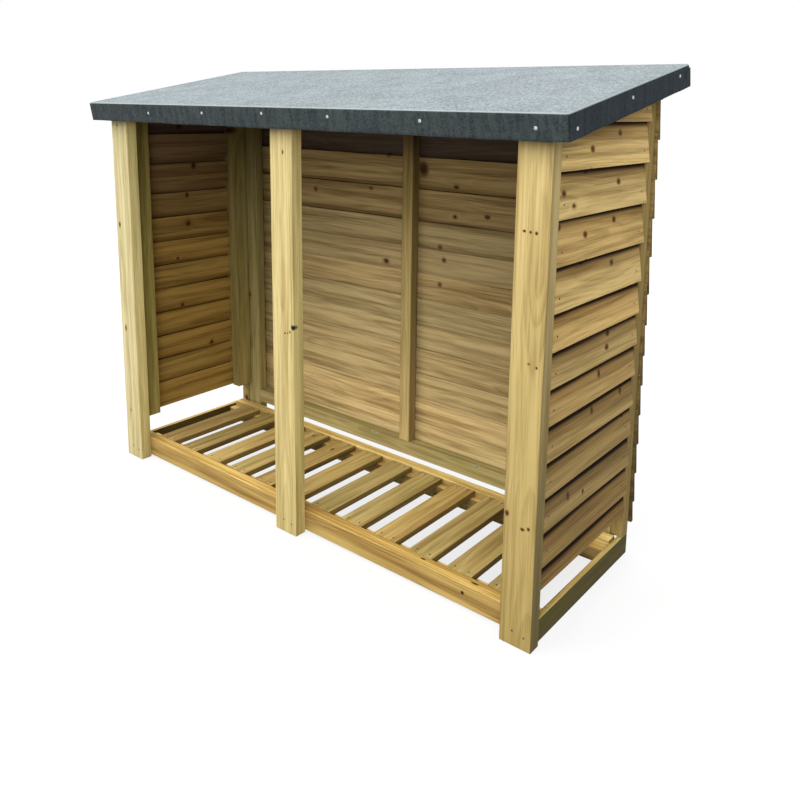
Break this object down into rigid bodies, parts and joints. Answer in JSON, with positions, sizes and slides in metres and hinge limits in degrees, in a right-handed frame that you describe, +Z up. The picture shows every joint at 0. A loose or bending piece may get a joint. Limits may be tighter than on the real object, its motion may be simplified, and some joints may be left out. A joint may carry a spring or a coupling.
{
  "type": "log store",
  "caption": "Open-fronted timber log store with overlap-boarded sides and back, slatted floor, wide front posts and a felted pent roof falling to the front.",
  "frame": {"origin": "on the ground under the middle of the roof", "axes": "+X along the front to the viewer's right, the open front faces -Y, +Z up"},
  "size_m": [1.83, 0.67, 1.4097],
  "materials": {
    "post_wood": "planed, pressure treated",
    "base_wood": "planed, pressure treated",
    "rail_wood": "planed, pressure treated, greenish",
    "slat_wood": "sawn, pressure treated",
    "batten_wood": "sawn, pressure treated",
    "board_wood": "sawn, pressure treated",
    "deck_wood": "sawn",
    "roof_felt": "mineral grit",
    "clout_nails": "galvanised"
  },
  "bodies": {
    "root": {"front_post_left": "post_wood", "front_post_middle": "post_wood", "front_post_right": "post_wood", "front_beam": "base_wood", "rear_beam": "base_wood", "side_rail_left": "rail_wood", "side_rail_right": "rail_wood", "front_ledger": "base_wood", "rear_ledger": "base_wood", "floor_slat_01": "slat_wood", "floor_slat_02": "slat_wood", "floor_slat_03": "slat_wood", "floor_slat_04": "slat_wood", "floor_slat_05": "slat_wood", "floor_slat_06": "slat_wood", "floor_slat_07": "slat_wood", "floor_slat_08": "slat_wood", "floor_slat_09": "slat_wood", "floor_slat_10": "slat_wood", "floor_slat_11": "slat_wood", "floor_slat_12": "slat_wood", "left_front_batten": "batten_wood", "left_rear_batten": "batten_wood", "right_front_batten": "batten_wood", "right_rear_batten": "batten_wood", "left_corner_batten": "batten_wood", "right_corner_batten": "batten_wood", "left_boards": "board_wood", "right_boards": "board_wood", "back_leg_left": "batten_wood", "back_batten_middle": "batten_wood", "back_leg_right": "batten_wood", "back_bottom_rail": "batten_wood", "back_boards": "board_wood", "front_top_rail": "batten_wood", "rear_top_rail": "batten_wood", "roof_deck": "deck_wood", "front_fascia": "deck_wood", "back_fascia": "deck_wood", "left_fascia": "deck_wood", "right_fascia": "deck_wood", "roof_felt": "roof_felt"}
  },
  "joints": []
}
